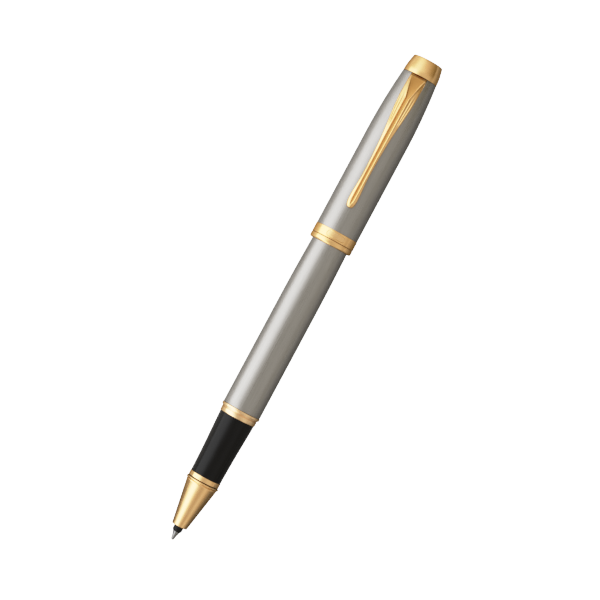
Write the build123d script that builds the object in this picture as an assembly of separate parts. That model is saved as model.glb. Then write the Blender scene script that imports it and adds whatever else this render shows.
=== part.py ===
"""Rollerball pen with a pull-off cap, shown with the cap pushed onto the rear of the barrel.

Every piece is drawn on the pen's own axis: u runs along it in millimetres, from 0 at the
writing ball to OVERALL at the cap's top, and r is the distance from it. The last step lays the
pen on its side: the axis lies along X, the writing end points to -X, the clip is uppermost and
the cap's band rests on Z = 0. The origin is under the middle of the pen.
"""
import os
from math import pi, sqrt
from build123d import *

# ---- overall -------------------------------------------------------------------------------
OVERALL = 154.0          # ball to cap top, cap on the rear
BARREL_R = 5.75          # straight part of the barrel
CAP_R = 6.38             # straight part of the cap
BAND_R = 6.44            # cap band, a touch proud of the cap

# ---- stations along the axis ----------------------------------------------------------------
U_NOSE = 4.40            # front face of the nose cone
U_BEAD = 18.35           # middle of the cap-click bead
U_COLLAR = 18.85         # nose collar, front
U_GRIP = 20.27           # grip, front
U_RING = 39.20           # trim ring, front
U_FLANGE = 41.05         # trim ring flange, front
U_BARREL = 41.82         # barrel, front
U_TAPER = 74.86          # barrel starts to taper
U_LIP = 94.70            # cap mouth
U_BAND_TOP = 99.05       # cap band, rear
U_CAP_TAPER = 128.8      # cap starts to taper
U_CAP_TOP = 148.70       # cap tube, rear
U_FINIAL = 148.78        # finial, front
U_TAIL = 123.0           # rear end of the barrel
TAPER_RADIUS = 696.0     # radius of the barrel's long taper curve
CAP_TAPER_RADIUS = 180.6 # radius of the cap's taper curve

# ---- walls, bores and fits -------------------------------------------------------------------
WALL = 0.55              # barrel tube
CAP_WALL = 0.50          # cap tube
REFILL_R = 3.03          # refill body, the common 6 mm rollerball size
REFILL_BORE = 3.15       # the bore it slides in
REFILL_LENGTH = 111.0    # ball to the rear face of the refill
NOSE_BORE = 1.48         # hole that the refill's front passes through
POINT_R = 1.40           # front of the refill's holder
THREAD_R = 4.00          # section thread, crest
THREAD_ROOT = 3.66       # section thread, root
THREAD_PITCH = 0.80
THREAD_START, THREAD_END = 42.5, 47.3
BUSH_BORE = 4.06         # crest of the barrel bush's thread
RUN = 0.03               # running clearance between pieces that turn
GLUE = 0.01              # gap of a glued or pressed joint

# ---- ball, spring, clip -----------------------------------------------------------------------
BALL_R = 0.35
SPRING_WIRE = 0.40
SPRING_MEAN_R = 2.42
SPRING_FRONT, SPRING_REAR = 111.05, 119.0
SPRING_TURNS = 6.5
CLIP_PIVOT_U, CLIP_PIVOT_R = 148.25, 5.10

os.makedirs("parts", exist_ok=True)
LAY = Plane(origin=(-OVERALL / 2, 0, BAND_R), x_dir=(0, 0, 1), z_dir=(1, 0, 0)).location


def V(r, u):
    return Vector(r, 0, u)


def outline(items):
    """Closed face in the r-u plane. An item is a point (r, u), or ("arc", mid) or ("spline",
    [points]) for the way to the next point."""
    pts = [i for i in items if not isinstance(i[0], str)]
    edges, here, way = [], None, None
    for item in items + [pts[0]]:
        if isinstance(item[0], str):
            way = item
            continue
        p = V(*item)
        if here is not None and (p - here).length > 1e-9:
            if way is None:
                edges.append(Edge.make_line(here, p))
            elif way[0] == "arc":
                edges.append(Edge.make_three_point_arc(here, V(*way[1]), p))
            else:
                edges.append(Edge.make_spline([here, *[V(*q) for q in way[1]], p]))
        here, way = p, None
    return Face(Wire(edges))


def lathe(*items):
    return Solid.revolve(outline(list(items)), 360, Axis.Z)


def tube(r0, r1, u0, u1):
    """Plain ring or cylinder between two radii."""
    return lathe((r0, u0), (r1, u0), (r1, u1), (r0, u1))


def taper_r(u):
    """Outside radius of the barrel's tapering rear."""
    return BARREL_R - (TAPER_RADIUS - sqrt(TAPER_RADIUS**2 - (u - U_TAPER) ** 2))


def cap_r(u):
    """Outside radius of the cap's tapering top."""
    return CAP_R - (CAP_TAPER_RADIUS - sqrt(CAP_TAPER_RADIUS**2 - (u - U_CAP_TAPER) ** 2))


def save(name, shape):
    solids = shape.solids() if hasattr(shape, "solids") else [shape]
    solids = [s for s in solids]
    out = solids[0] if len(solids) == 1 else Compound(children=solids)
    export_step(LAY * out, f"parts/{name}.step")


# ================================ barrel ========================================================
u_mid = (U_TAPER + U_TAIL - 1.0) / 2
TAIL_FACE = U_TAIL - 1.0         # the tube ends here, and the end plug's head covers it
in_end = 116.5
barrel_shell = lathe(
    (BARREL_R - WALL, U_BARREL), (BARREL_R - 0.08, U_BARREL), (BARREL_R, U_BARREL + 0.08),
    (BARREL_R, U_TAPER), ("arc", (taper_r(u_mid), u_mid)), (taper_r(TAIL_FACE), TAIL_FACE),
    (3.50, TAIL_FACE), (3.50, in_end), (taper_r(in_end) - WALL, in_end),
    ("arc", (taper_r((U_TAPER + in_end) / 2) - WALL, (U_TAPER + in_end) / 2)),
    (BARREL_R - WALL, U_TAPER),
)
save("barrel_shell", barrel_shell)

# brass bush glued in the barrel's front; its thread is drawn as a plain bore at the crest
save("barrel_thread_bush", lathe(
    (BUSH_BORE + 0.25, U_BARREL + 0.25), (BARREL_R - WALL - GLUE, U_BARREL + 0.25),
    (BARREL_R - WALL - GLUE, 54.0), (4.10, 54.0), (4.10, 52.4), (BUSH_BORE, 52.0),
    (BUSH_BORE, U_BARREL + 0.50),
))

# end plug: a domed head outside, a spigot in the tube and a pocket for the spring
head_r = taper_r(TAIL_FACE) - 0.02
save("barrel_end_plug", lathe(
    (0, SPRING_REAR + 0.03), (2.90, SPRING_REAR + 0.03), (2.90, in_end + 0.1), (3.50 - GLUE, in_end + 0.1),
    (3.50 - GLUE, TAIL_FACE + 0.01), (head_r, TAIL_FACE + 0.01), (head_r - 0.06, TAIL_FACE + 0.45),
    ("arc", (head_r - 0.24, TAIL_FACE + 0.78)), (head_r - 0.62, TAIL_FACE + 0.93),
    (2.2, U_TAIL), (0, U_TAIL),
))

# compression spring: open coil, centred on the plug's pocket and the refill's rear boss
pitch = (SPRING_REAR - SPRING_FRONT - SPRING_WIRE) / SPRING_TURNS
helix = Edge.make_helix(pitch, pitch * SPRING_TURNS, SPRING_MEAN_R)
section = Plane(origin=helix @ 0, z_dir=helix % 0) * Circle(SPRING_WIRE / 2)
spring = sweep(section, path=helix, is_frenet=True)
save("refill_spring", Location((0, 0, SPRING_FRONT + SPRING_WIRE / 2)) * spring)

# ================================ section =======================================================
grip_profile = [(4.65, 21.7), (4.69, 22.9), (4.73, 25.2), (4.81, 27.4), (4.89, 29.7),
                (5.0, 32.0), (5.11, 34.2), (5.21, 36.5)]
save("section_grip", lathe(
    (3.93, U_GRIP), (4.60, U_GRIP), (4.645, U_GRIP + 0.06), ("spline", grip_profile),
    (5.30, U_RING - 0.07), (5.24, U_RING), (4.42, U_RING), (4.42, U_FLANGE), (3.78, U_FLANGE),
    (3.78, 32.0), (REFILL_BORE, 31.4), (REFILL_BORE, 26.4), (3.93, 26.4),
))

# gold trim ring, loose on the grip's neck and kept there by the sleeve's flange
save("section_trim_ring", lathe(
    (4.42 + RUN, U_RING + 0.02), (5.36, U_RING + 0.02), (5.42, U_RING + 0.08), (5.49, 40.45),
    (5.38, 40.52), (5.38, 40.66), (5.51, 40.73), (5.51, U_FLANGE),
    (5.79, U_FLANGE), (5.85, U_FLANGE + 0.10), (5.85, U_BARREL - 0.13), (5.79, U_BARREL - 0.03),
    (4.92, U_BARREL - 0.03), (4.92, U_FLANGE + 0.03 - 0.02), (4.42 + RUN, U_FLANGE + 0.01),
))

# brass sleeve pressed in the grip: a flange, then the male thread and a plain pilot
core = lathe(
    (REFILL_BORE, 32.1), (3.78 - GLUE, 32.1), (3.78 - GLUE, U_FLANGE + 0.06), (4.85, U_FLANGE + 0.06),
    (4.85, U_BARREL - 0.12), (THREAD_ROOT, U_BARREL + 0.05), (THREAD_ROOT, 49.6),
    (THREAD_ROOT - 0.2, 49.8), (REFILL_BORE, 49.8),
)
turns = (THREAD_END - THREAD_START) / THREAD_PITCH
rib = Edge.make_helix(THREAD_PITCH, THREAD_PITCH * turns, THREAD_ROOT - 0.10)
with BuildSketch(Plane(origin=rib @ 0, x_dir=(1, 0, 0), z_dir=(0, 1, 0))) as tooth:
    # local x is outwards and local y is against the pen's axis
    Polygon((0, -0.33), (0, 0.33), (THREAD_R - THREAD_ROOT + 0.10, 0.07),
            (THREAD_R - THREAD_ROOT + 0.10, -0.07), align=None)
ridge = sweep(tooth.sketch, path=rib, binormal=Edge.make_line((0, 0, 0), (0, 0, 10)))
ridge = Location((0, 0, THREAD_START)) * ridge
sleeve = core + ridge
save("section_thread_sleeve", sleeve)

# gold collar between the grip and the nose cone
save("nose_collar", lathe(
    (3.92, U_COLLAR), (4.62, U_COLLAR), (4.69, U_COLLAR + 0.07), (4.69, U_GRIP - 0.07),
    (4.64, U_GRIP - 0.01), (3.92, U_GRIP - 0.01),
))

# gold nose cone with the bead that the cap clicks over and a spigot into the grip
CONE_FRONT_R, CONE_REAR_R = 2.30, 4.66
save("nose_cone", lathe(
    (NOSE_BORE, U_NOSE), (CONE_FRONT_R - 0.25, U_NOSE),
    ("arc", (CONE_FRONT_R - 0.055, U_NOSE + 0.085)), (CONE_FRONT_R + 0.04, U_NOSE + 0.29),
    (CONE_REAR_R, 17.85), (4.58, 17.95), (4.70, 18.03), ("arc", (4.94, U_BEAD)), (4.70, 18.67),
    (4.52, 18.70), (4.52, U_COLLAR - 0.01), (3.91, U_COLLAR - 0.01), (3.91, 26.2),
    (REFILL_BORE, 26.2), (REFILL_BORE, 13.55), (2.20, 13.05), (2.20, 9.0), (NOSE_BORE, 9.0),
))

# ================================ refill ========================================================
save("writing_ball", Location((0, 0, BALL_R)) * Solid.make_sphere(BALL_R, angle1=-90, angle2=90))

SOCKET = BALL_R + 0.012
lip_u = BALL_R - 0.13
lip_r = sqrt(SOCKET**2 - 0.13**2)
seat_r = 0.16
seat_u = BALL_R + sqrt(SOCKET**2 - seat_r**2)
save("refill_point", lathe(
    (lip_r, lip_u), (0.43, lip_u + 0.05), (0.50, 0.62), (0.62, 1.35), (0.98, 2.52), (0.98, 2.62),
    (0.80, 2.66), (0.80, 8.6), (0.62, 8.8), (0.30, 8.8), (0.30, 6.0), (seat_r, 5.8), (seat_r, seat_u),
    ("arc", (SOCKET, BALL_R)),
))

save("refill_nose_holder", lathe(
    (0.81, 2.66), (1.08, 2.66), (POINT_R, 3.15), (POINT_R, 9.02), (2.08, 9.02), (2.08, 13.4),
    (2.35, 13.75), (REFILL_R, 13.75), (REFILL_R, 16.0), (2.64, 16.0), (2.64, 20.0), (2.3, 20.3),
    (0.66, 20.3), (0.66, 9.2), (0.81, 8.9),
))

save("refill_tube", lathe(
    (2.65, 16.01), (REFILL_R, 16.01), (REFILL_R, 108.9), (2.65, 108.9),
))

save("ink_feed_wick", Location((0, 0, 8.85)) * Solid.make_cylinder(0.55, 24.0))

save("ink_reservoir", lathe(
    (0.60, 21.0), (2.45, 21.0), (2.60, 21.2), (2.60, 104.8), (2.45, 105.0), (0, 105.0), (0, 33.2),
    (0.60, 33.2),
))

save("refill_end_plug", lathe(
    (0.30, 105.6), (2.4, 105.6), (2.64, 105.9), (2.64, 108.92), (REFILL_R, 108.92), (REFILL_R, 110.85),
    (2.90, 111.0), (2.05, 111.0), (2.05, 111.7), (1.85, 111.9), (0.30, 111.9),
))

# ================================ cap ===========================================================
LIP_ROUND = 0.46
u_mid = (U_CAP_TAPER + U_CAP_TOP) / 2
u_top_in = 148.0
rebate = 6.12
cap_shell = lathe(
    (CAP_R - CAP_WALL, U_LIP + 0.26), (rebate, U_LIP + 0.26), (rebate, U_BAND_TOP + 0.01),
    (CAP_R, U_BAND_TOP + 0.01), (CAP_R, U_CAP_TAPER), ("arc", (cap_r(u_mid), u_mid)),
    (cap_r(U_CAP_TOP - 0.06), U_CAP_TOP - 0.06), (cap_r(U_CAP_TOP) - 0.06, U_CAP_TOP),
    (cap_r(U_CAP_TOP) - CAP_WALL, U_CAP_TOP),
    ("arc", (cap_r(u_mid) - CAP_WALL, u_mid)), (CAP_R - CAP_WALL, U_CAP_TAPER),
)
# slot in the rear edge for the clip's root
slot = Location((5.2, 0, U_CAP_TOP - 0.5)) * Box(2.6, 5.02, 1.6, align=(Align.CENTER,) * 3)
cap_shell = cap_shell - slot
save("cap_shell", cap_shell)

save("cap_band", lathe(
    (5.66, U_LIP + 0.08), (5.74, U_LIP), (BAND_R - LIP_ROUND, U_LIP),
    ("arc", (BAND_R - 0.2929 * LIP_ROUND, U_LIP + 0.2929 * LIP_ROUND)), (BAND_R, U_LIP + LIP_ROUND), (BAND_R, 96.20), (BAND_R - 0.14, 96.28), (BAND_R - 0.14, 96.34),
    (BAND_R, 96.42), (BAND_R, U_BAND_TOP - 0.07), (BAND_R - 0.06, U_BAND_TOP),
    (rebate + GLUE, U_BAND_TOP), (rebate + GLUE, U_LIP + 0.24), (5.66, U_LIP + 0.24),
))

# inner cap: mouth, the seat that grips the barrel's taper, the click rib and groove, a closed end
liner_wall = CAP_WALL + 0.02
END_IN, END_OUT = 137.9, 139.3
mid = (U_CAP_TAPER + END_OUT) / 2
save("cap_liner", lathe(
    (5.66, U_LIP + 0.27), (CAP_R - liner_wall, U_LIP + 0.27), (CAP_R - liner_wall, U_CAP_TAPER),
    ("arc", (cap_r(mid) - liner_wall - 0.03, mid)), (cap_r(END_OUT) - liner_wall - 0.03, END_OUT),
    (0, END_OUT), (0, END_IN), (4.60, END_IN), (4.84, END_IN - 0.4),
    (4.84, 118.6), (5.14, 118.2), (5.14, 117.0), (4.87, 116.4), (4.87, 115.6), (5.14, 114.6),
    (5.14, 107.0), (5.18, 103.8), (5.66, 101.6),
))

# brass insert under the cap's top: the finial's screw is fixed in it
save("cap_top_insert", lathe(
    (1.24, END_OUT + 0.02), (4.6, END_OUT + 0.02), (4.6, 146.6), (4.30, 147.2), (4.30, 148.05),
    (1.24, 148.05),
))

# the clip's root ring, clamped between the insert and the finial
save("clip_ring", tube(1.40, 4.28, 148.07, 148.72))

save("finial_screw", lathe(
    (0, 143.5), (1.0, 143.5), (1.22, 143.75), (1.22, 151.4), (1.0, 151.65), (0, 151.65),
))

FT = OVERALL
save("cap_finial", lathe(
    (1.24, U_FINIAL), (5.20, U_FINIAL), (5.27, U_FINIAL + 0.07),
    ("spline", [(5.23, 149.9), (5.10, 151.0), (4.88, 152.2), (4.67, 153.2)]),
    (4.57, 153.62), ("arc", (4.47, 153.90)), (4.20, FT), (0, FT), (0, 151.8), (1.24, 151.8),
))

# ================================ clip ==========================================================
# side shape in the r-u plane, cut by the outline seen from above
top = [(5.72, 147.95), (6.45, 146.4), (7.30, 143.8), (7.95, 140.2), (8.38, 134.8), (8.58, 128.0),
       (8.60, 121.0), (8.48, 115.5), (8.22, 110.8), (7.80, 108.2)]
under = [(6.52, 108.6), (6.75, 110.6), (7.20, 112.4), (7.62, 115.0), (7.76, 121.0), (7.72, 128.0),
         (7.52, 134.8), (7.12, 140.2), (6.50, 143.8), (5.85, 146.2)]
side = outline([
    (4.42, 148.62), (5.12, 148.62), ("spline", top), (7.05, 106.55),
    ("arc", (6.62, 106.75)), (6.50, 107.35), ("spline", under), (5.42, 147.55), (4.42, 147.55),
])
bar = extrude(side, amount=4.0, dir=(0, 1, 0), both=True)


edge_pts = [(2.46, 148.9), (2.55, 146.0), (2.56, 142.6), (2.42, 139.0), (2.12, 135.6), (1.76, 132.2),
            (1.46, 129.0), (1.23, 125.0), (1.10, 121.0), (1.05, 118.0), (1.06, 116.0), (1.14, 114.0),
            (1.25, 112.0), (1.33, 110.4), (1.34, 109.2), (1.30, 108.2), (1.14, 107.4), (0.86, 106.86),
            (0.55, 106.55)]
right = [Vector(0, y, u) for y, u in edge_pts]
left = [Vector(0, -y, u) for y, u in reversed(edge_pts)]
plan = Face(Wire([
    Edge.make_spline(right),
    Edge.make_three_point_arc(right[-1], Vector(0, 0, 106.40), left[0]),
    Edge.make_spline(left),
    Edge.make_line(left[-1], right[0]),
]))
plate = Solid.extrude(plan, Vector(12, 0, 0))
clip = bar & plate
save("clip", clip)
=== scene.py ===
"""Looks of the rollerball pen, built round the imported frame.

Lengths along the pen are called u, in millimetres from the writing ball, and r is the distance
from the pen's axis. mm() turns them into the row frame, in metres.
"""

import math
from math import asin, cos, pi, radians, sin, sqrt, tan

import bpy
import bmesh
from mathutils import Matrix, Vector


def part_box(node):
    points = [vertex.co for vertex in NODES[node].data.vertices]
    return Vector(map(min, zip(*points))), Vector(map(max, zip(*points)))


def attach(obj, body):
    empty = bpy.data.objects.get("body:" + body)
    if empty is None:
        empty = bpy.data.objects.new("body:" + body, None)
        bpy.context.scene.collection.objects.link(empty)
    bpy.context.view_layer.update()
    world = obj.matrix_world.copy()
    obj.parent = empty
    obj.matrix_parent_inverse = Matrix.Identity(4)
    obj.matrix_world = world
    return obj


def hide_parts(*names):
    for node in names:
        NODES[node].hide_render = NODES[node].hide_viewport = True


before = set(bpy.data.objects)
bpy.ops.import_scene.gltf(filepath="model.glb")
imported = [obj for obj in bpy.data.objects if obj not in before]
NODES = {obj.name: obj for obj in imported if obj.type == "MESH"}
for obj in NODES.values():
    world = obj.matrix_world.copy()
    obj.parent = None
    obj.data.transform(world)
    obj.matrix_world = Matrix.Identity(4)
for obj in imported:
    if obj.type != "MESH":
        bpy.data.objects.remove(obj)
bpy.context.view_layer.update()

U0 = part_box("writing_ball")[0].x
_lo, _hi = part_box("barrel_shell")
ZC = (_lo.z + _hi.z) / 2
BARREL_R = (_hi.z - _lo.z) * 500
CAP_R = (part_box("cap_shell")[1].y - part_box("cap_shell")[0].y) * 500
BAND_R = (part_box("cap_band")[1].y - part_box("cap_band")[0].y) * 500


def at(u, y, r):
    """Row-frame point from mm: u along the axis, y across, r up from the axis."""
    return Vector((U0 + u / 1000, y / 1000, ZC + r / 1000))


def u_of(node):
    """Where a CAD node starts and ends along the axis, in mm."""
    lo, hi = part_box(node)
    return (lo.x - U0) * 1000, (hi.x - U0) * 1000


# =================================================================================== mesh tools
def smoothstep(a, b, x):
    """0 at a, 1 at b; a may be the larger."""
    t = min(max((x - a) / (b - a), 0.0), 1.0)
    return t * t * (3 - 2 * t)


def pchip(points):
    """Monotone cubic through (x, y) points, sorted by x."""
    pts = sorted(points)
    xs, ys = [p[0] for p in pts], [p[1] for p in pts]
    n = len(xs)
    h = [xs[i + 1] - xs[i] for i in range(n - 1)]
    d = [(ys[i + 1] - ys[i]) / h[i] for i in range(n - 1)]
    m = [0.0] * n
    m[0], m[-1] = d[0], d[-1]
    for i in range(1, n - 1):
        if d[i - 1] * d[i] > 0:
            w1, w2 = 2 * h[i] + h[i - 1], h[i] + 2 * h[i - 1]
            m[i] = (w1 + w2) / (w1 / d[i - 1] + w2 / d[i])

    def f(x):
        if x <= xs[0]:
            return ys[0]
        if x >= xs[-1]:
            return ys[-1]
        i = max(k for k in range(n - 1) if xs[k] <= x)
        t = (x - xs[i]) / h[i]
        return ((2 * t**3 - 3 * t * t + 1) * ys[i] + (t**3 - 2 * t * t + t) * h[i] * m[i]
                + (-2 * t**3 + 3 * t * t) * ys[i + 1] + (t**3 - t * t) * h[i] * m[i + 1])

    return f


def rounded(points, closed=True, seg=4):
    """Corner points (u, r) or (u, r, f) to a finer outline: f is the corner's fillet radius."""
    n = len(points)
    out = []
    for i, p in enumerate(points):
        f = p[2] if len(p) > 2 else 0
        b = Vector(p[:2])
        if not f or (not closed and i in (0, n - 1)):
            out.append(b)
            continue
        a, c = Vector(points[i - 1][:2]), Vector(points[(i + 1) % n][:2])
        da, dc = (a - b), (c - b)
        la, lc = da.length, dc.length
        da.normalize(), dc.normalize()
        half = math.acos(max(-1, min(1, da.dot(dc)))) / 2
        if half > radians(88.5):
            out.append(b)
            continue
        cut = min(f / tan(half), 0.48 * la, 0.48 * lc)
        radius = cut * tan(half)
        centre = b + (da + dc).normalized() * (radius / sin(half))
        s, e = b + da * cut, b + dc * cut
        a0 = math.atan2(s.y - centre.y, s.x - centre.x)
        a1 = math.atan2(e.y - centre.y, e.x - centre.x)
        while a1 - a0 > pi:
            a1 -= 2 * pi
        while a1 - a0 < -pi:
            a1 += 2 * pi
        for k in range(seg + 1):
            t = a0 + (a1 - a0) * k / seg
            out.append(Vector((centre.x + radius * cos(t), centre.y + radius * sin(t))))
    return out


def link(name, bm, smooth=True):
    me = bpy.data.meshes.new(name)
    bm.to_mesh(me)
    bm.free()
    ob = bpy.data.objects.new(name, me)
    bpy.context.scene.collection.objects.link(ob)
    if smooth:
        for p in me.polygons:
            p.use_smooth = True
    return ob


def lathe(name, points, n=256, closed=True, warp=None, seg=4, weighted=True):
    """Turned piece. points run round the section; the first and last may lie on the axis."""
    prof = rounded(points, closed, seg)
    bm = bmesh.new()
    rings = []
    for p in prof:
        u, r = p.x, p.y
        if r < 1e-6:
            rings.append([bm.verts.new(at(u, 0, 0))])
            continue
        ring = []
        for k in range(n):
            phi = 2 * pi * k / n
            uu, rr = warp(u, r, phi) if warp else (u, r)
            ring.append(bm.verts.new(at(uu, -rr * sin(phi), rr * cos(phi))))
        rings.append(ring)
    pairs = list(zip(rings, rings[1:]))
    if closed:
        pairs.append((rings[-1], rings[0]))
    for a, b in pairs:
        if len(a) == 1 and len(b) == 1:
            continue
        for k in range(n):
            j = (k + 1) % n
            if len(a) == 1:
                bm.faces.new((a[0], b[k], b[j]))
            elif len(b) == 1:
                bm.faces.new((a[k], a[j], b[0]))
            else:
                bm.faces.new((a[k], a[j], b[j], b[k]))
    bmesh.ops.recalc_face_normals(bm, faces=bm.faces)
    ob = link(name, bm)
    if weighted:
        m = ob.modifiers.new("normals", "WEIGHTED_NORMAL")
        m.mode, m.weight, m.keep_sharp = "FACE_AREA", 60, True
    return ob


def apply_modifiers(ob):
    dg = bpy.context.evaluated_depsgraph_get()
    me = bpy.data.meshes.new_from_object(ob.evaluated_get(dg), depsgraph=dg)
    ob.modifiers.clear()
    ob.data = me
    return ob


# =================================================================================== materials
class Mat:
    """A material and short ways to wire it. Sizes in the patterns are in millimetres."""

    def __init__(self, name):
        self.mat = bpy.data.materials.new(name)
        self.mat.use_nodes = True
        self.nt = self.mat.node_tree
        self.bsdf = self.nt.nodes["Principled BSDF"]
        self.obj = self.nt.nodes.new("ShaderNodeTexCoord").outputs["Object"]
        self.n_bump = None

    def set(self, **k):
        for name, v in k.items():
            self.bsdf.inputs[name.replace("_", " ")].default_value = v
        return self

    def coords(self, sx, sy, sz):
        """Object coordinates with a feature of sx, sy, sz millimetres brought to size 1."""
        m = self.nt.nodes.new("ShaderNodeMapping")
        m.inputs["Location"].default_value = (0, 0, 0)
        m.inputs["Scale"].default_value = (1000 / sx, 1000 / sy, 1000 / sz)
        self.nt.links.new(self.obj, m.inputs["Vector"])
        return m.outputs[0]

    def noise(self, size, detail=3.0, rough=0.55, seed=0.0):
        t = self.nt.nodes.new("ShaderNodeTexNoise")
        t.noise_dimensions = "4D"
        t.inputs["W"].default_value = seed
        t.inputs["Scale"].default_value = 1.0
        t.inputs["Detail"].default_value = detail
        t.inputs["Roughness"].default_value = rough
        self.nt.links.new(self.coords(*size), t.inputs["Vector"])
        return t.outputs["Fac"]

    def ramp(self, fac, stops, interp="EASE"):
        r = self.nt.nodes.new("ShaderNodeValToRGB")
        r.color_ramp.interpolation = interp
        el = r.color_ramp.elements
        while len(el) < len(stops):
            el.new(0.5)
        for e, (pos, col) in zip(el, stops):
            e.position = pos
            e.color = (*col, 1) if hasattr(col, "__len__") else (col, col, col, 1)
        self.nt.links.new(fac, r.inputs["Fac"])
        return r.outputs["Color"]

    def math(self, op, a, b=None, c=None):
        m = self.nt.nodes.new("ShaderNodeMath")
        m.operation = op
        for s, v in zip(m.inputs, (a, b, c)):
            if v is None:
                continue
            if isinstance(v, (int, float)):
                s.default_value = v
            else:
                self.nt.links.new(v, s)
        return m.outputs[0]

    def mix(self, fac, a, b):
        m = self.nt.nodes.new("ShaderNodeMix")
        m.data_type = "RGBA"
        for s, v in ((m.inputs[0], fac), (m.inputs[6], a), (m.inputs[7], b)):
            if isinstance(v, (int, float)):
                s.default_value = v
            elif isinstance(v, tuple):
                s.default_value = (*v, 1)
            else:
                self.nt.links.new(v, s)
        return m.outputs[2]

    def span(self, fac, lo, hi, a=0.3, b=0.7):
        """Map a noise's middle range to lo..hi."""
        m = self.nt.nodes.new("ShaderNodeMapRange")
        m.interpolation_type = "SMOOTHSTEP"
        for s, v in zip(("From Min", "From Max", "To Min", "To Max"), (a, b, lo, hi)):
            m.inputs[s].default_value = v
        self.nt.links.new(fac, m.inputs["Value"])
        return m.outputs[0]

    def to(self, name, out):
        self.nt.links.new(out, self.bsdf.inputs[name])
        return self

    def bump(self, height, depth_mm, strength=1.0):
        b = self.nt.nodes.new("ShaderNodeBump")
        b.inputs["Strength"].default_value = strength
        b.inputs["Distance"].default_value = depth_mm / 1000
        self.nt.links.new(height, b.inputs["Height"])
        if self.n_bump is not None:
            self.nt.links.new(self.n_bump, b.inputs["Normal"])
        self.n_bump = b.outputs["Normal"]
        self.to("Normal", self.n_bump)
        return self

    def tangent_round_x(self):
        t = self.nt.nodes.new("ShaderNodeTangent")
        t.direction_type = "RADIAL"
        t.axis = "X"
        self.to("Tangent", t.outputs[0])
        return self


def brushed_steel(name, base, rough=0.30, seed=0.0):
    """Stainless steel brushed along the pen, under a thin clear coat."""
    m = Mat(name)
    fine = m.noise((5.0, 0.055, 0.055), 2.0, 0.5, seed)
    mid = m.noise((14.0, 0.22, 0.22), 3.0, 0.6, seed + 3.1)
    broad = m.noise((9.0, 2.4, 2.4), 2.0, 0.5, seed + 7.7)
    scratch = m.noise((26.0, 0.10, 0.10), 0.0, 0.5, seed + 11.3)
    r, g, b = base
    streak = m.math("ADD", m.math("MULTIPLY", fine, 0.55), m.math("MULTIPLY", mid, 0.45))
    tone = m.ramp(streak, [(0.30, (r * 0.86, g * 0.86, b * 0.855)), (0.5, base),
                           (0.70, (min(r * 1.10, 1), g * 1.10, b * 1.10))])
    worn = m.span(scratch, 0.0, 0.35, 0.66, 0.74)
    tone = m.mix(worn, tone, (min(r * 1.25, 1), g * 1.25, b * 1.26))
    m.to("Base Color", tone)
    rr = m.math("ADD", m.span(streak, rough - 0.045, rough + 0.055),
                m.span(broad, -0.018, 0.022))
    m.to("Roughness", rr)
    m.set(Metallic=1.0, Anisotropic=0.55, Coat_Weight=0.12, Coat_Roughness=0.22, Coat_IOR=1.5)
    m.tangent_round_x()
    m.bump(fine, 0.0035, 0.55).bump(mid, 0.006, 0.35)
    return m.mat


def gold(name, base, rough=0.17, seed=0.0, grain=(6.0, 0.10, 0.10), handled=True):
    """Polished gold plate. grain is the direction that the last polish ran in."""
    m = Mat(name)
    lines = m.noise(grain, 2.0, 0.5, seed)
    smudge = m.noise((3.1, 2.3, 2.3), 3.0, 0.55, seed + 2.0)
    orange = m.noise((0.55, 0.45, 0.45), 2.0, 0.5, seed + 5.0)
    hair = m.noise((2.6, 0.030, 1.1), 0.0, 0.5, seed + 9.0)
    r, g, b = base
    tone = m.ramp(smudge, [(0.28, (r, g * 0.955, b * 0.90)), (0.52, base),
                           (0.75, (min(r * 1.01, 1), min(g * 1.035, 1), min(b * 1.09, 1)))])
    m.to("Base Color", tone)
    rr = m.math("ADD", m.span(lines, rough - 0.03, rough + 0.04), m.span(smudge, -0.015, 0.035))
    if handled:
        rr = m.math("ADD", rr, m.span(hair, 0.0, 0.10, 0.67, 0.73))
    m.to("Roughness", rr)
    m.set(Metallic=1.0, Specular_Tint=(0.78, 0.56, 0.30, 1))
    m.bump(orange, 0.004, 0.35).bump(lines, 0.0018, 0.5)
    return m.mat


def gloss_black(name, base, rough=0.30, seed=0.0):
    m = Mat(name)
    flow = m.noise((7.0, 1.6, 1.6), 2.0, 0.5, seed)
    peel = m.noise((0.8, 0.6, 0.6), 2.0, 0.5, seed + 4.0)
    hair = m.noise((0.8, 0.03, 0.03), 0.0, 0.5, seed + 8.0)
    dust = m.noise((0.09, 0.09, 0.09), 1.0, 0.5, seed + 12.0)
    r, g, b = base
    tone = m.ramp(flow, [(0.3, (r * 0.8, g * 0.8, b * 0.82)), (0.7, (r * 1.25, g * 1.25, b * 1.3))])
    tone = m.mix(m.span(dust, 0.0, 0.25, 0.735, 0.78), tone, (r + 0.02, g + 0.02, b + 0.02))
    m.to("Base Color", tone)
    rr = m.math("ADD", m.span(flow, rough - 0.03, rough + 0.04), m.span(hair, 0.0, 0.09, 0.66, 0.72))
    m.to("Roughness", rr)
    m.set(IOR=1.5, Specular_IOR_Level=0.22)
    m.bump(peel, 0.006, 0.35)
    return m.mat


def moulded(name, base, rough=0.45, seed=0.0, grain=0.16, depth=0.006, spec=0.5):
    """Moulded plastic: fine spark texture, slight shade drift."""
    m = Mat(name)
    g1 = m.noise((grain, grain, grain), 3.0, 0.6, seed)
    g2 = m.noise((3.0, 2.0, 2.0), 2.0, 0.5, seed + 5.0)
    r, g, b = base
    m.to("Base Color", m.ramp(g2, [(0.3, (r * 0.85, g * 0.85, b * 0.86)), (0.7, (r * 1.15, g * 1.15, b * 1.15))]))
    m.to("Roughness", m.math("ADD", m.span(g1, rough - 0.06, rough + 0.08), m.span(g2, -0.02, 0.03)))
    m.set(IOR=1.49, Specular_IOR_Level=spec)
    m.bump(g1, depth, 0.5)
    return m.mat


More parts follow.
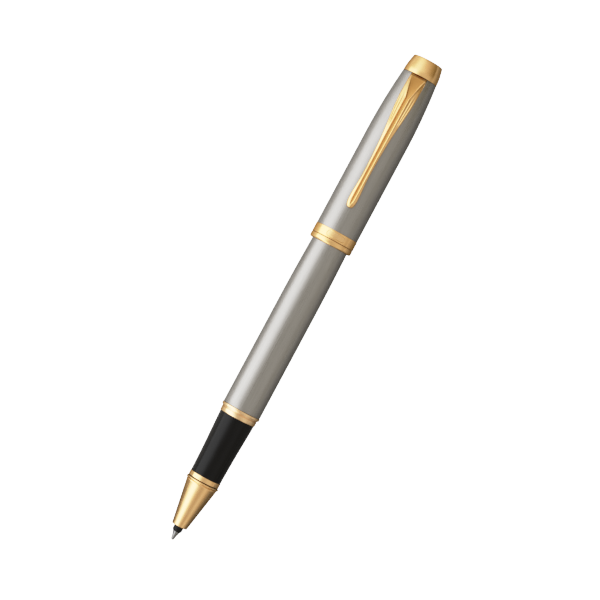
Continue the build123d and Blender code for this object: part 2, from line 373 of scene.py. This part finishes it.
def turned(name, base, rough=0.24, seed=0.0, pitch=0.05, depth=0.002, metal=1.0):
    """Lathe-turned metal: fine rings round the axis, a little tarnish."""
    m = Mat(name)
    rings = m.noise((pitch, 2.8, 2.8), 2.0, 0.55, seed)
    tarnish = m.noise((1.6, 1.2, 1.2), 3.0, 0.55, seed + 6.0)
    r, g, b = base
    tone = m.ramp(tarnish, [(0.3, (r * 0.84, g * 0.83, b * 0.80)), (0.55, base),
                            (0.8, (min(1, r * 1.05), min(1, g * 1.05), min(1, b * 1.05)))])
    m.to("Base Color", tone)
    m.to("Roughness", m.math("ADD", m.span(rings, rough - 0.05, rough + 0.06), m.span(tarnish, 0.03, -0.02)))
    m.set(Metallic=metal, Anisotropic=0.3)
    m.tangent_round_x()
    m.bump(rings, depth, 0.6)
    return m.mat


def fibre(name, base, seed=0.0):
    m = Mat(name)
    f1 = m.noise((2.5, 0.05, 0.05), 3.0, 0.65, seed)
    f2 = m.noise((6.0, 1.5, 1.5), 2.0, 0.5, seed + 4.0)
    r, g, b = base
    m.to("Base Color", m.mix(m.span(f2, 0.0, 0.6), m.ramp(f1, [(0.35, (r * 0.5, g * 0.5, b * 0.6)), (0.65, base)]),
                             (r * 0.4, g * 0.4, b * 0.7)))
    m.to("Roughness", m.span(f1, 0.6, 0.85))
    m.set(Sheen_Weight=0.25, Sheen_Roughness=0.5)
    m.bump(f1, 0.03, 0.8)
    return m.mat


STEEL = (0.372, 0.365, 0.352)
GOLD = (1.0, 0.63, 0.28)
GOLD_PALE = (1.0, 0.70, 0.40)
M_BARREL = brushed_steel("steel_barrel", STEEL, 0.30, 0.0)
M_CAP = brushed_steel("steel_cap", STEEL, 0.30, 21.0)
M_END = brushed_steel("steel_end", STEEL, 0.28, 41.0)
M_CLIP = gold("gold_clip", GOLD, 0.17, 0.0, (6.0, 0.10, 2.0))
# Clip's sunken panel: a real satin finish (rougher), and a base colour darker than the clip's gold that is painted
# shade in the recess.
M_PANEL = gold("gold_satin_painted_shade", (0.78, 0.44, 0.145), 0.33, 3.0, (0.9, 0.12, 2.0))
M_BAND = gold("gold_band", GOLD, 0.19, 5.0, (0.06, 2.6, 2.6))
M_FINIAL = gold("gold_finial", GOLD, 0.17, 9.0, (0.07, 2.0, 2.0))
M_RING = gold("gold_ring", GOLD_PALE, 0.18, 13.0, (0.05, 2.6, 2.6))
# Painted shade: dark gold for the clip ring, seen only in the gap between the clip's root and the finial.
M_CLIP_RING_SHADE = gold("gold_gap_painted_shade", (0.26, 0.165, 0.075), 0.42, 23.0, (0.05, 2.6, 2.6), False)
# Painted shade: dark gold for the clip's root where it runs under the finial.
M_ROOT_SHADE = gold("gold_root_painted_shade", (0.50, 0.31, 0.115), 0.38, 27.0, (0.05, 2.6, 2.6), False)
M_BLANK = gold("gold_blank_panel", (1.0, 0.66, 0.32), 0.30, 31.0, (0.06, 0.9, 2.6))
M_NOSE = gold("gold_nose", (1.0, 0.648, 0.315), 0.19, 17.0, (0.06, 2.2, 2.2))
M_GRIP = gloss_black("grip_black", (0.0014, 0.0014, 0.0016), 0.20, 2.0)
M_HOLDER = moulded("holder_black", (0.004, 0.004, 0.0045), 0.36, 4.0, spec=0.22)
M_LINER = moulded("liner_grey", (0.035, 0.035, 0.038), 0.48, 8.0)
M_POINT = turned("point_metal", (0.27, 0.27, 0.275), 0.24, 1.0, 0.03, 0.0015)
M_BALL = turned("ball_carbide", (0.42, 0.42, 0.44), 0.14, 2.0, 0.02, 0.0003)
# Painted shade: darker gold for the bottom of the cap band's turned groove.
M_BAND_GROOVE_SHADE = turned("gold_groove_painted_shade", (0.46, 0.27, 0.11), 0.42, 11.0, 0.05, 0.001)
M_GROOVE = turned("groove_shadow", (0.11, 0.062, 0.024), 0.48, 7.0, 0.05, 0.001)
M_BRASS = turned("brass_turned", (0.72, 0.50, 0.22), 0.26, 3.0, 0.06, 0.003)
M_WIRE = turned("spring_wire", (0.52, 0.51, 0.50), 0.30, 4.0, 0.04, 0.001)
M_TUBE = moulded("refill_tube", (0.62, 0.62, 0.60), 0.35, 6.0, 0.4, 0.003)
M_FIBRE = fibre("ink_fibre", (0.03, 0.03, 0.09), 1.0)


def dress(ob, mat):
    ob.data.materials.clear()
    ob.data.materials.append(mat)
    return ob


def sink(ob, mat, where):
    """Give the faces at the bottom of a groove their own darker material: painted shade in the groove."""
    ob.data.materials.append(mat)
    for p in ob.data.polygons:
        c = p.center
        if where((c.x - U0) * 1000, math.hypot(c.y, c.z - ZC) * 1000):
            p.material_index = 1


def put(ob, body, slot, mat, *nodes):
    dress(ob, mat)
    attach(ob, body)
    if nodes:
        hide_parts(*nodes)
    return ob


# =================================================================================== barrel
TAPER_U, TAPER_RADIUS = 74.86, 696.0


def taper_r(u):
    return BARREL_R - (TAPER_RADIUS - sqrt(TAPER_RADIUS**2 - (u - TAPER_U) ** 2)) if u > TAPER_U else BARREL_R


b0, b1 = u_of("barrel_shell")
outer = [(b0, BARREL_R, 0.09)] + [(u, BARREL_R) for u in (44, 48, 54, 62, 70)] + [(TAPER_U, BARREL_R)]
outer += [(TAPER_U + (b1 - TAPER_U) * k / 40, taper_r(TAPER_U + (b1 - TAPER_U) * k / 40)) for k in range(1, 40)]
outer += [(b1, taper_r(b1), 0.05), (b1, 3.50, 0.05), (116.5, 3.50)]
outer += [(TAPER_U + (116.5 - TAPER_U) * k / 20, taper_r(TAPER_U + (116.5 - TAPER_U) * k / 20) - 0.55)
          for k in range(20, -1, -1)]
outer += [(b0, BARREL_R - 0.55, 0.05)]
barrel = lathe("barrel_tube", outer, 320)
put(barrel, "barrel", "steel", M_BARREL, "barrel_shell")

# =================================================================================== cap tube
CAP_TAPER_U, CAP_TAPER_RADIUS = 128.8, 180.6


def cap_r(u):
    return CAP_R - (CAP_TAPER_RADIUS - sqrt(CAP_TAPER_RADIUS**2 - (u - CAP_TAPER_U) ** 2)) if u > CAP_TAPER_U else CAP_R


c0, c1 = u_of("cap_shell")
band_top = u_of("cap_band")[1]
prof = [(c0, CAP_R - 0.50, 0.03), (c0, 6.12, 0.03), (band_top + 0.01, 6.12), (band_top + 0.01, CAP_R, 0.035)]
prof += [(u, CAP_R) for u in (102, 108, 115, 122)] + [(CAP_TAPER_U, CAP_R)]
prof += [(CAP_TAPER_U + (c1 - CAP_TAPER_U) * k / 24, cap_r(CAP_TAPER_U + (c1 - CAP_TAPER_U) * k / 24)) for k in range(1, 24)]
prof += [(c1, cap_r(c1), 0.07), (c1, cap_r(c1) - 0.50, 0.04)]
prof += [(CAP_TAPER_U + (c1 - CAP_TAPER_U) * k / 12, cap_r(CAP_TAPER_U + (c1 - CAP_TAPER_U) * k / 12) - 0.50)
         for k in range(11, -1, -1)]
cap = lathe("cap_tube", prof, 320, weighted=False)
# slot for the clip's root
bm = bmesh.new()
bmesh.ops.create_cube(bm, size=1.0)
for v in bm.verts:
    v.co = at(c1 + 0.02 + v.co.x * 2.64, v.co.y * 5.02, 5.2 + v.co.z * 2.6)
cutter = link("slot_cutter", bm, False)
bev = cutter.modifiers.new("round", "BEVEL")
bev.width, bev.segments = 0.00012, 3
cut = cap.modifiers.new("slot", "BOOLEAN")
cut.operation, cut.solver, cut.object = "DIFFERENCE", "EXACT", cutter
apply_modifiers(cap)
bpy.data.objects.remove(cutter)
for p in cap.data.polygons:
    p.use_smooth = True
cap.data.set_sharp_from_angle(angle=radians(38))
wn = cap.modifiers.new("normals", "WEIGHTED_NORMAL")
wn.mode, wn.weight, wn.keep_sharp = "FACE_AREA", 60, True
put(cap, "cap", "steel", M_CAP, "cap_shell")

# =================================================================================== cap band
g0, g1 = u_of("cap_band")
LIP = 0.46
R = BAND_R
rows = [(g0 + 0.08, 5.66), (g0, 5.74), (g0, R - LIP)]
rows += [(g0 + LIP - LIP * cos(t), R - LIP + LIP * sin(t)) for t in (radians(a) for a in range(12, 90, 12))]
rows += [(g0 + LIP, R)]
GROOVE = (96.20, 96.28, 96.34, 96.42)
rows += [(g0 + 0.9, R), (GROOVE[0], R, 0.03), (GROOVE[1], R - 0.14, 0.02), (GROOVE[2], R - 0.14, 0.02), (GROOVE[3], R, 0.03)]
n_rows = 44
rows += [(96.52 + (g1 - 0.16 - 96.52) * k / n_rows, R) for k in range(n_rows + 1)]
rows += [(g1, R, 0.06), (g1, 6.13), (g0 + 0.24, 6.13), (g0 + 0.24, 5.66)]
PANEL_U, PANEL_PHI, PANEL_HALF, PANEL_TALL = (96.52 + g1 - 0.10) / 2, radians(6.5), 2.9, 0.78


def panel_edge(u, phi):
    """Distance in mm from the outline of the blank panel on the band's front, - inside."""
    x = abs((phi + pi) % (2 * pi) - pi - PANEL_PHI) * R - (PANEL_HALF - PANEL_TALL)
    y = abs(u - PANEL_U)
    return (math.hypot(x, y) if x > 0 else y) - PANEL_TALL


def engrave(u, r, phi):
    """A blank round-ended panel, sunk a little into the band's front behind a fine outline."""
    if r < R - 0.02 or u < 96.5:
        return u, r
    d = panel_edge(u, phi)
    return u, r - 0.025 * (1 - smoothstep(-0.08, 0.02, d)) - 0.05 * (1 - smoothstep(0.03, 0.10, abs(d)))


band = lathe("cap_band_ring", rows, 900, warp=engrave)
put(band, "cap", "gold_plate", M_BAND, "cap_band")
# Painted shade in the band's groove.
sink(band, M_BAND_GROOVE_SHADE, lambda u, r: 96.2 < u < 96.5 and R - 0.045 > r > 6.2)
band.data.materials.append(M_BLANK)
for p in band.data.polygons:
    c = p.center
    u, r = (c.x - U0) * 1000, math.hypot(c.y, c.z - ZC) * 1000
    if u > 96.5 and r > R - 0.12 and panel_edge(u, math.atan2(-c.y, c.z - ZC)) < -0.04:
        p.material_index = 2

# =================================================================================== finial
f0, f1 = u_of("cap_finial")
side = pchip([(f0 + 0.07, 5.27), (149.9, 5.23), (151.0, 5.10), (152.2, 4.88), (153.2, 4.67), (153.62, 4.57)])
prof = [(151.8, 0.0), (151.8, 1.24), (f0, 1.24), (f0, 5.27, 0.06)]
prof += [(f0 + 0.12 + (153.58 - f0 - 0.12) * k / 22, side(f0 + 0.12 + (153.58 - f0 - 0.12) * k / 22)) for k in range(23)]
prof += [(f1, 4.46, 0.30), (f1, 2.4), (f1, 0.0)]
finial = lathe("finial_button", prof, 256, closed=False, seg=7)
put(finial, "cap", "gold_plate", M_FINIAL, "cap_finial")

# =================================================================================== clip
half_w = pchip([(149.2, 2.45), (146.0, 2.55), (142.6, 2.56), (139.0, 2.42), (135.6, 2.12), (132.2, 1.76),
                (129.0, 1.46), (125.0, 1.23), (121.0, 1.10), (118.0, 1.05), (116.0, 1.06), (114.0, 1.14),
                (112.0, 1.25), (110.4, 1.33), (109.2, 1.34), (108.2, 1.30), (107.4, 1.14), (107.0, 0.955)])
TIP = u_of("clip")[0]
top_h = pchip([(148.62, 5.12), (147.95, 5.72), (146.4, 6.45), (143.8, 7.30), (140.2, 7.95), (134.8, 8.38),
               (128.0, 8.58), (121.0, 8.60), (115.5, 8.48), (110.8, 8.22), (108.2, 7.80), (107.0, 7.38), (106.4, 6.98)])
low_h = pchip([(147.55, 5.42), (146.2, 5.85), (143.8, 6.50), (140.2, 7.12), (134.8, 7.52), (128.0, 7.72),
               (121.0, 7.76), (115.0, 7.62), (112.4, 7.20), (110.6, 6.75), (108.6, 6.52), (107.2, 6.50), (106.4, 6.60)])


def width_at(u):
    if u > 107.0:
        return half_w(u)
    t = (107.0 - u) / (107.0 - TIP)
    return half_w(107.0) * sqrt(max(0.0, 1 - t * t)) * (1 - 0.12 * t) + 0.004


def panel_half(u, w):
    """Half width of the sunken panel: a groove that opens to a wedge towards the root."""
    p = 0.40 + max(0.0, u - 141.4) * 0.235
    if u < 131.5:
        p = 0.40 - 0.10 * smoothstep(131.5, 118.0, u)
    return min(p, w - 0.40) * (0.55 + 0.45 * smoothstep(106.8, 110.0, u))


def relief(u, y, w):
    """Height of the top face above its centre line: crown, sunken panel, rails, flutes."""
    a = abs(y)
    v = a / max(w, 0.05)
    fade_tip = smoothstep(107.2, 109.4, u)
    crown = 0.58 * min(w / 2.65, 1.0) ** 0.9
    p = panel_half(u, w)
    deep = (0.26 + 0.10 * smoothstep(147.0, 148.3, u)) * fade_tip
    inside = 1 - smoothstep(p - 0.11, p + 0.06, a)
    bead = 0.15 * fade_tip * math.exp(-(((a - p - 0.26) / 0.20) ** 2))
    z = (-crown * v * v + bead) * (1 - inside) + (-deep + 0.05 * (a / max(p, 0.1)) ** 2) * inside
    # plain lengthwise flutes on the wings
    zone = smoothstep(131.4, 134.6, u) * (1 - smoothstep(139.4, 143.4, u))
    if zone > 0:
        room = w - 0.24 - (p + 0.46)
        for k in range(2):
            c = p + 0.46 + room * (k + 0.5) / 2
            z -= 0.13 * zone * math.exp(-(((a - c) / max(0.06, 0.17 * min(1.0, room / 1.3))) ** 2))
    # rounded edges
    q, rho = w - a, min(0.30, 0.45 * w)
    if q < rho:
        t = (rho - max(q, 0)) / rho
        z -= 0.30 * (1 - sqrt(max(0.0, 1 - t * t)))
    return z


J = 110
vs = []
for j in range(J + 1):
    t = -1 + 2 * j / J
    vs.append(0.68 * t + 0.32 * sin(pi / 2 * t))
stations = [148.62 - 0.10 * k for k in range(0, 12)]
u = stations[-1] - 0.14
while u > 107.4:
    stations.append(u)
    u -= 0.14
while u > TIP + 0.02:
    stations.append(u)
    u -= 0.05 if u > 106.75 else 0.025
stations.append(TIP)
bm = bmesh.new()
top_rows, low_rows = [], []
for k, u in enumerate(stations):
    w = width_at(u)
    h = top_h(u)
    if u < 107.2:
        t = (107.2 - u) / (107.2 - TIP)
        h = top_h(107.2) - (top_h(107.2) - 6.82) * (1 - sqrt(max(0, 1 - t * t)))
    top_rows.append([bm.verts.new(at(u, v * w, h + relief(u, v * w, w))) for v in vs])
    # the underside; the root's tab drops into the cap
    if u > 147.55:
        lu, lh = u, 4.42
    else:
        lu, lh = u, low_h(u)
    if u < 107.2:
        t = (107.2 - u) / (107.2 - TIP)
        lh = 6.50 + 0.26 * (1 - sqrt(max(0, 1 - t * t)))
    ww = w * 0.985
    low_rows.append([bm.verts.new(at(lu, v * ww, lh + 0.05 * (1 - v * v) * smoothstep(107, 110, u)
                                     + 0.10 * max(0, abs(v) - 0.9) / 0.1 * (1 if u < 147 else 0))) for v in vs])
K = len(stations)
for rows_, flip in ((top_rows, False), (low_rows, True)):
    for k in range(K - 1):
        for j in range(J):
            q = (rows_[k][j], rows_[k + 1][j], rows_[k + 1][j + 1], rows_[k][j + 1])
            bm.faces.new(q if not flip else q[::-1])
for k in range(K - 1):
    for j in (0, J):
        a, b, c, d = top_rows[k][j], top_rows[k + 1][j], low_rows[k + 1][j], low_rows[k][j]
        bm.faces.new((a, b, c, d))
for k in (0, K - 1):
    for j in range(J):
        bm.faces.new((top_rows[k][j], top_rows[k][j + 1], low_rows[k][j + 1], low_rows[k][j]))
bmesh.ops.recalc_face_normals(bm, faces=bm.faces)
clip = link("pocket_clip", bm)
clip.data.set_sharp_from_angle(angle=radians(50))
put(clip, "clip", "gold_plate", M_CLIP, "clip")
clip.data.materials.append(M_PANEL)
clip.data.materials.append(M_ROOT_SHADE)
# Painted shade: faces near the clip's root, under the finial, get the dark gold; faces in the sunken panel get the
# satin gold, whose darker colour is partly painted shade.
for p in clip.data.polygons:
    u, y = (p.center.x - U0) * 1000, abs(p.center.y) * 1000
    if u > 147.9 and y < width_at(u) - 0.05 or u > 148.45:
        p.material_index = 2
    elif p.normal.z > 0.3 and u > 107.6 and y < panel_half(u, width_at(u)) - 0.03:
        p.material_index = 1

# =================================================================================== trim ring
t0, t1 = u_of("section_trim_ring")
FL = 41.05
prof = [(t0, 4.45), (t0, 5.395, 0.05), (39.40, 5.43), (40.44, 5.49, 0.03), (40.51, 5.36, 0.02), (40.66, 5.36, 0.02),
        (40.73, 5.51, 0.03), (FL, 5.52, 0.03), (FL, 5.86, 0.10), (t1, 5.86, 0.10), (t1, 4.92), (FL + 0.01, 4.92),
        (FL + 0.01, 4.45)]
ring = lathe("trim_ring_gold", prof, 256)
put(ring, "trim_ring", "gold_plate", M_RING, "section_trim_ring")

# =================================================================================== section
s0, s1 = u_of("section_grip")
grip_r = pchip([(s0 + 0.07, 4.648), (21.7, 4.655), (22.9, 4.69), (25.2, 4.74), (27.4, 4.81), (29.7, 4.895), (32.0, 5.0),
                (34.2, 5.105), (36.5, 5.21), (39.2, 5.31)])
prof = [(s0, 3.93), (s0, 4.645, 0.06)]
prof += [(s0 + 0.3 + (39.05 - s0 - 0.3) * k / 60, grip_r(s0 + 0.3 + (39.05 - s0 - 0.3) * k / 60)) for k in range(61)]
prof += [(39.20, 5.305, 0.08), (39.20, 4.42), (s1, 4.42, 0.04), (s1, 3.78), (32.0, 3.78), (31.4, 3.15), (26.4, 3.15),
         (26.4, 3.93)]
grip = lathe("grip_sleeve", prof, 288)
put(grip, "section", "grip_plastic", M_GRIP, "section_grip")

k0, k1 = u_of("nose_collar")
prof = [(k0, 3.92), (k0, 4.69, 0.07), (k0 + 0.25, 4.695), (k1 - 0.22, 4.695), (k1, 4.685, 0.05), (k1, 3.92)]
collar = lathe("nose_collar_ring", prof, 256)
put(collar, "section", "gold_plate", M_NOSE, "nose_collar")
sink(collar, M_GROOVE, lambda u, r: u < k0 + 0.02)

n0, n1 = u_of("nose_cone")
prof = [(n0, 1.48, 0.05), (n0, 2.325, 0.17)]
prof += [(n0 + 0.45 + (17.85 - n0 - 0.45) * k / 30, 2.37 + (4.66 - 2.37) * k / 30) for k in range(31)]
prof += [(17.96, 4.58, 0.02), (18.02, 4.70, 0.02)]
prof += [(18.35 + 0.33 * sin(t), 4.70 + 0.24 * cos(t)) for t in (radians(a) for a in range(-75, 55, 15))]
prof += [(18.63, 4.80, 0.03), (18.64, 4.42), (18.84, 4.42), (18.84, 3.91), (26.2, 3.91, 0.08), (26.2, 3.15, 0.05),
         (13.55, 3.15), (13.05, 2.20), (9.0, 2.20), (9.0, 1.48)]
cone = lathe("nose_cone_gold", prof, 288)
put(cone, "section", "gold_plate", M_NOSE, "nose_cone")
sink(cone, M_GROOVE, lambda u, r: 18.62 < u < 18.86 and r < 4.78)

# =================================================================================== refill front
prof = [(2.66, 0.81), (2.66, 1.09, 0.04), (3.13, 1.40, 0.10), (9.02, 1.40, 0.04), (9.02, 2.08, 0.06), (13.4, 2.08),
        (13.75, 2.35, 0.05), (13.75, 3.03, 0.08), (16.0, 3.03, 0.04), (16.0, 2.64), (20.0, 2.64, 0.05), (20.3, 2.3),
        (20.3, 0.66), (9.2, 0.66), (8.9, 0.81)]
holder = lathe("refill_holder_front", prof, 192)
put(holder, "refill", "holder_plastic", M_HOLDER, "refill_nose_holder")

BALL = 0.35
sock = BALL + 0.015
lip_u, lip_r = BALL - 0.13, sqrt(sock**2 - 0.13**2)
seat_u = BALL + sqrt(sock**2 - 0.16**2)
prof = [(lip_u, lip_r), (lip_u + 0.02, 0.375, 0.012), (0.34, 0.45, 0.04), (0.62, 0.50, 0.05), (1.35, 0.62, 0.20),
        (2.52, 0.98, 0.05), (2.64, 0.98, 0.02), (2.655, 0.80), (8.6, 0.80, 0.05), (8.8, 0.62), (8.8, 0.30), (6.0, 0.30),
        (5.8, 0.16), (seat_u, 0.16)]
prof += [(BALL + sock * cos(t), sock * sin(t)) for t in (radians(a) for a in range(40, 100, 12))]
point = lathe("refill_point_tip", prof, 128)
put(point, "refill", "point_metal", M_POINT, "refill_point")

prof = [(BALL - (BALL - 0.003) * cos(t), (BALL - 0.003) * sin(t)) for t in (pi * k / 48 for k in range(49))]
ball = lathe("rolling_ball", prof, 96, closed=False, weighted=False)
put(ball, "ball", "ball_carbide", M_BALL, "writing_ball")

# =================================================================================== kept CAD nodes
for node, mat in {
    "barrel_thread_bush": M_BRASS, "barrel_end_plug": M_END, "refill_spring": M_WIRE, "cap_liner": M_LINER,
    "cap_top_insert": M_BRASS, "clip_ring": M_CLIP_RING_SHADE, "finial_screw": M_WIRE, "section_thread_sleeve": M_BRASS,
    "refill_tube": M_TUBE, "ink_feed_wick": M_FIBRE, "ink_reservoir": M_FIBRE, "refill_end_plug": M_HOLDER,
}.items():
    dress(NODES[node], mat)

# =================================================================================== stage
bm = bmesh.new()
S = 3.0
for i in range(13):
    for j in range(13):
        bm.verts.new(((i / 6 - 1) * S, (j / 6 - 1) * S, -0.00003))
bm.verts.ensure_lookup_table()
for i in range(12):
    for j in range(12):
        a = i * 13 + j
        bm.faces.new((bm.verts[a], bm.verts[a + 13], bm.verts[a + 14], bm.verts[a + 1]))
floor = link("studio_floor", bm, False)
# Painted light and shade, seen only in reflections and bounces: rays other than the camera's see the floor lighter
# towards +Y (painted pool of light from the soft box) and darker in a strip on the -Y side of the pen (painted shadow
# of the pen). Camera rays see an evenly bright floor.
fm = bpy.data.materials.new("floor_paper")
fm.use_nodes = True
nt = fm.node_tree
nt.nodes.clear()
out = nt.nodes.new("ShaderNodeOutputMaterial")
path = nt.nodes.new("ShaderNodeLightPath")
lit = nt.nodes.new("ShaderNodeBsdfDiffuse")
side = nt.nodes.new("ShaderNodeSeparateXYZ")
nt.links.new(nt.nodes.new("ShaderNodeTexCoord").outputs["Object"], side.inputs[0])
fall = nt.nodes.new("ShaderNodeMapRange")
for name, v in (("From Min", -0.12), ("From Max", 0.12), ("To Min", 0.0), ("To Max", 1.0)):
    fall.inputs[name].default_value = v
nt.links.new(side.outputs["Y"], fall.inputs["Value"])
shade = nt.nodes.new("ShaderNodeValToRGB")
el = shade.color_ramp.elements
while len(el) < 6:
    el.new(0.5)
for e, (y, v) in zip(el, ((-0.12, 0.46), (-0.045, 0.42), (-0.018, 0.25), (0.010, 0.42), (0.024, 0.66), (0.050, 0.86))):
    e.position = (y + 0.12) / 0.24
    e.color = (v, v * 0.98, v * 0.95, 1)
nt.links.new(fall.outputs[0], shade.inputs["Fac"])
# Painted shade on the floor towards the writing end, seen only in reflections.
under = nt.nodes.new("ShaderNodeMapRange")
under.interpolation_type = "SMOOTHSTEP"
for name, v in (("From Min", -0.068), ("From Max", -0.054), ("To Min", 0.45), ("To Max", 1.0)):
    under.inputs[name].default_value = v
nt.links.new(side.outputs["X"], under.inputs["Value"])
dim = nt.nodes.new("ShaderNodeVectorMath")
dim.operation = "SCALE"
nt.links.new(shade.outputs["Color"], dim.inputs[0])
nt.links.new(under.outputs[0], dim.inputs["Scale"])
nt.links.new(dim.outputs[0], lit.inputs["Color"])
seen = nt.nodes.new("ShaderNodeBsdfDiffuse")
seen.inputs["Color"].default_value = (0.22, 0.22, 0.22, 1)
glow = nt.nodes.new("ShaderNodeEmission")
glow.inputs["Strength"].default_value = 2.16
add = nt.nodes.new("ShaderNodeAddShader")
mix = nt.nodes.new("ShaderNodeMixShader")
nt.links.new(seen.outputs[0], add.inputs[0])
nt.links.new(glow.outputs[0], add.inputs[1])
nt.links.new(path.outputs["Is Camera Ray"], mix.inputs[0])
nt.links.new(lit.outputs[0], mix.inputs[1])
nt.links.new(add.outputs[0], mix.inputs[2])
nt.links.new(mix.outputs[0], out.inputs[0])
floor.data.materials.append(fm)

# Soft wrap-round studio light. Its strength depends on the angle about the pen's axis, from
# straight up, + towards +Y: a broad soft box on the +Y side, a low card on the -Y side, and a
# warm fill between them. Three such profiles are blended along X.
FULL = 3.2
MIDWAY = [(-110, 0.62), (-100, 0.72), (-93, 0.80), (-84, 0.56), (-77, 0.50), (-66, 0.62), (-50, 0.74), (-30, 0.70),
          (-12, 0.60), (-3, 0.56), (7, 0.61), (17, 0.86), (28, 1.58), (39, 2.25), (52, 2.5), (75, 2.5), (88, 2.3),
          (98, 1.7), (110, 1.2)]
TOWARDS_TIP = [(-110, 0.20), (-88, 0.30), (-68, 0.56), (-51, 0.76), (-34, 0.60), (-19, 0.52), (-11, 0.58), (-3, 0.68),
               (5, 0.82), (13, 1.10), (21, 1.75), (29, 2.3), (47, 2.45), (60, 2.3), (72, 1.5), (84, 0.9), (110, 0.4)]
TOWARDS_CAP = [(-110, 0.30), (-100, 0.36), (-87, 0.20), (-56, 0.40), (-29, 0.66), (-3, 0.97), (10, 1.14), (23, 1.42),
               (42, 1.58), (52, 1.50), (67, 1.15), (81, 0.92), (99, 0.68), (110, 0.6)]
PAST_CAP = [(-110, 0.25), (-87, 0.20), (-56, 0.32), (-29, 0.42), (-3, 0.50), (23, 0.80), (45, 1.10), (67, 1.0),
            (90, 0.7), (110, 0.5)]


def fill_tint(level, amber):
    """Warm where the light is weak, neutral in the soft box."""
    k = smoothstep(0.45, 1.7, level)
    low = smoothstep(0.75, 0.20, level) * amber
    r, g, b = 1.0, 0.935 - 0.14 * low, 0.83 - 0.42 * low
    return (r + (0.985 - r) * k, g + (0.985 - g) * k, b + (0.99 - b) * k)


world = bpy.data.worlds.new("studio")
bpy.context.scene.world = world
world.use_nodes = True
nt = world.node_tree
nt.nodes.clear()
out = nt.nodes.new("ShaderNodeOutputWorld")
path = nt.nodes.new("ShaderNodeLightPath")
way = nt.nodes.new("ShaderNodeSeparateXYZ")
nt.links.new(nt.nodes.new("ShaderNodeTexCoord").outputs["Generated"], way.inputs[0])
turn = nt.nodes.new("ShaderNodeMath")
turn.operation = "ARCTAN2"
nt.links.new(way.outputs["Y"], turn.inputs[0])
nt.links.new(way.outputs["Z"], turn.inputs[1])
place = nt.nodes.new("ShaderNodeMapRange")
for name, v in (("From Min", radians(-110)), ("From Max", radians(110)), ("To Min", 0.0), ("To Max", 1.0)):
    place.inputs[name].default_value = v
nt.links.new(turn.outputs[0], place.inputs["Value"])


def light_profile(points, amber=0.3):
    f = pchip(points)
    r = nt.nodes.new("ShaderNodeValToRGB")
    r.color_ramp.interpolation = "LINEAR"
    el = r.color_ramp.elements
    while len(el) < 32:
        el.new(0.5)
    for k, e in enumerate(el):
        level = f(-110 + 220 * k / 31)
        e.position = k / 31
        e.color = (*[level / FULL * c for c in fill_tint(level, amber)], 1)
    nt.links.new(place.outputs[0], r.inputs["Fac"])
    return r.outputs["Color"]


def blend(fac_lo, fac_hi, a, b):
    w = nt.nodes.new("ShaderNodeMapRange")
    w.interpolation_type = "SMOOTHSTEP"
    for name, v in (("From Min", fac_lo), ("From Max", fac_hi), ("To Min", 0.0), ("To Max", 1.0)):
        w.inputs[name].default_value = v
    nt.links.new(way.outputs["X"], w.inputs["Value"])
    m = nt.nodes.new("ShaderNodeMix")
    m.data_type = "RGBA"
    nt.links.new(w.outputs[0], m.inputs[0])
    nt.links.new(a, m.inputs[6])
    nt.links.new(b, m.inputs[7])
    return m.outputs[2]


soft = blend(-0.34, -0.12, light_profile(TOWARDS_TIP), light_profile(MIDWAY))
soft = blend(0.06, 0.34, soft, light_profile(TOWARDS_CAP, 1.0))
soft = blend(0.42, 0.66, soft, light_profile(PAST_CAP, 1.0))
env = nt.nodes.new("ShaderNodeBackground")
env.inputs["Strength"].default_value = FULL
nt.links.new(soft, env.inputs["Color"])
white = nt.nodes.new("ShaderNodeBackground")
white.inputs["Strength"].default_value = 2.4
mix = nt.nodes.new("ShaderNodeMixShader")
nt.links.new(path.outputs["Is Camera Ray"], mix.inputs[0])
nt.links.new(env.outputs[0], mix.inputs[1])
nt.links.new(white.outputs[0], mix.inputs[2])
nt.links.new(mix.outputs[0], out.inputs[0])

# =================================================================================== camera
TILT, ROLL, DISTANCE = radians(3.0), radians(28.23), 0.661
cam_data = bpy.data.cameras.new("camera")
cam_data.sensor_width = 36
cam_data.lens = 139.65
cam_data.dof.use_dof = False
cam = bpy.data.objects.new("camera", cam_data)
bpy.context.scene.collection.objects.link(cam)
away = Vector((0, -sin(TILT), cos(TILT)))
e1 = Vector((1, 0, 0))
e2 = (-away).cross(e1)
up = e1 * cos(ROLL) - e2 * sin(ROLL)
right = e1 * sin(ROLL) + e2 * cos(ROLL)
aim = at(77.15, 0.14, 0)
cam.matrix_world = Matrix.Translation(aim + away * DISTANCE) @ Matrix((right, up, away)).transposed().to_4x4()
bpy.context.scene.camera = cam

# Standard view with a film-like shoulder, so that bright gold turns cream before it clips.
view = bpy.context.scene.view_settings
view.view_transform = "Standard"
view.look = "None"
view.use_curve_mapping = True
SHOULDER = [(0.0, 0.0), (0.30, 0.30), (0.55, 0.55), (0.70, 0.665), (0.85, 0.755), (1.0, 0.815), (1.25, 0.88),
            (1.6, 0.945), (1.95, 0.985), (2.2, 1.0)]
WHITE = 2.2
curves = view.curve_mapping
curves.white_level = (WHITE, WHITE, WHITE)
points = curves.curves[3].points
while len(points) < len(SHOULDER):
    points.new(0.5, 0.5)
for pt, (x, y) in zip(points, SHOULDER):
    pt.location = (x / WHITE, y)
    pt.handle_type = "VECTOR" if x < 0.6 else "AUTO_CLAMPED"
curves.update()
